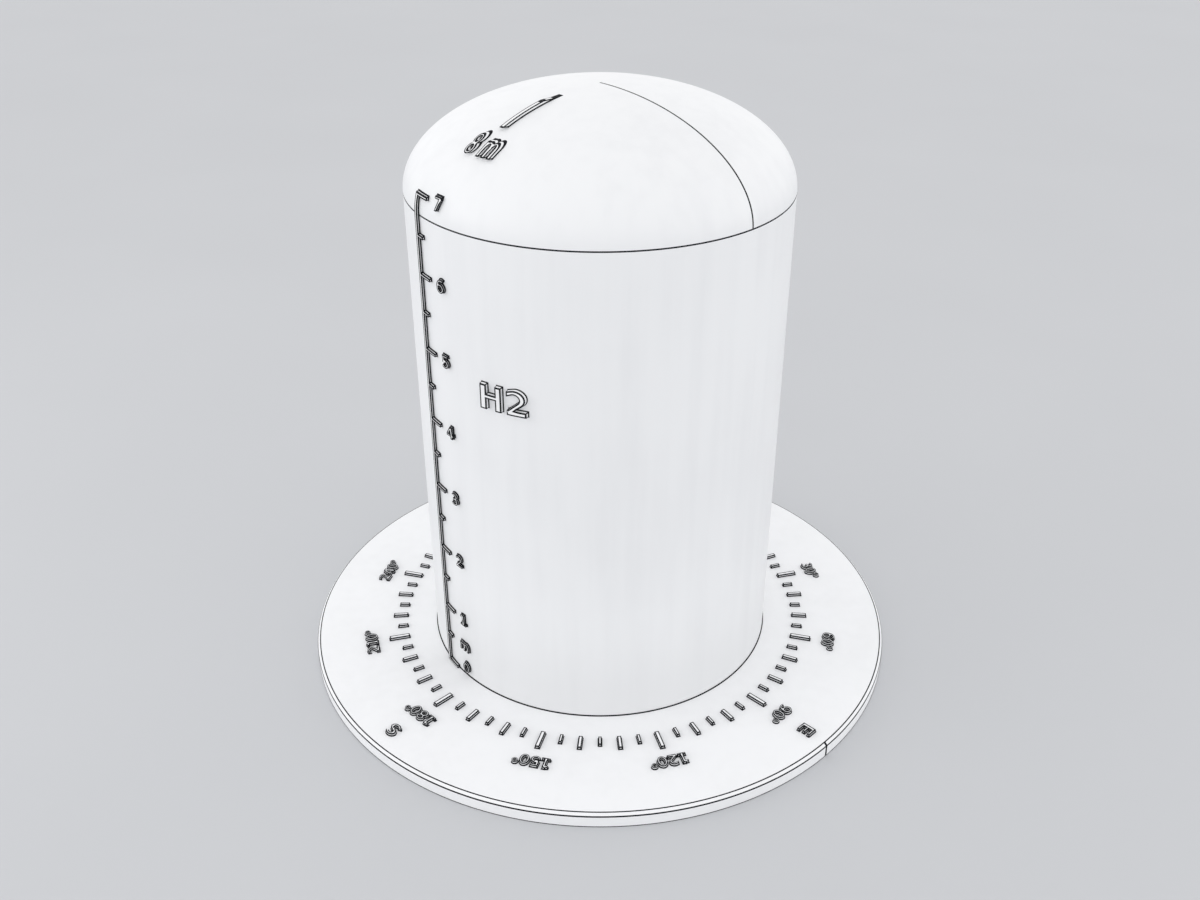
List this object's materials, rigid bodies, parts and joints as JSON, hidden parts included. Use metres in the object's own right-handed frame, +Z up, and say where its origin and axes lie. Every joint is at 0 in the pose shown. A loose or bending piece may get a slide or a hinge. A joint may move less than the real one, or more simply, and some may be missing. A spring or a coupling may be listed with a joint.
{
  "type": "hydrogen storage tank",
  "caption": "Upright cylindrical storage tank with a domed top on a round plinth, with a raised height scale and a raised angle scale.",
  "frame": {"origin": "centre of the plinth's underside", "axes": "+Z up the tank's axis, +Y towards the 0 degree mark of the plinth's angle scale, +X towards its 90 degree mark"},
  "size_m": [8.6, 8.6, 8.22],
  "materials": {
    "plinth": "white painted concrete, matt",
    "tank": "white paint, satin",
    "marks": "white paint with dark edges, satin"
  },
  "bodies": {
    "root": {"base_plinth": "plinth", "letter_north": "marks", "letter_east": "marks", "letter_south": "marks", "letter_west": "marks", "tank_floor": "tank", "tank_shell": "tank", "tank_dome": "tank", "height_scale": "marks", "height_figure_0": "marks", "height_figure_1": "marks", "height_figure_2": "marks", "height_figure_3": "marks", "height_figure_4": "marks", "height_figure_5": "marks", "height_figure_6": "marks", "height_figure_7": "marks", "height_unit_m": "marks", "dome_mark_8m": "marks", "dome_figure_8": "marks", "dome_unit_m": "marks", "contents_letter_h": "marks", "contents_figure_2": "marks"}
  },
  "joints": []
}
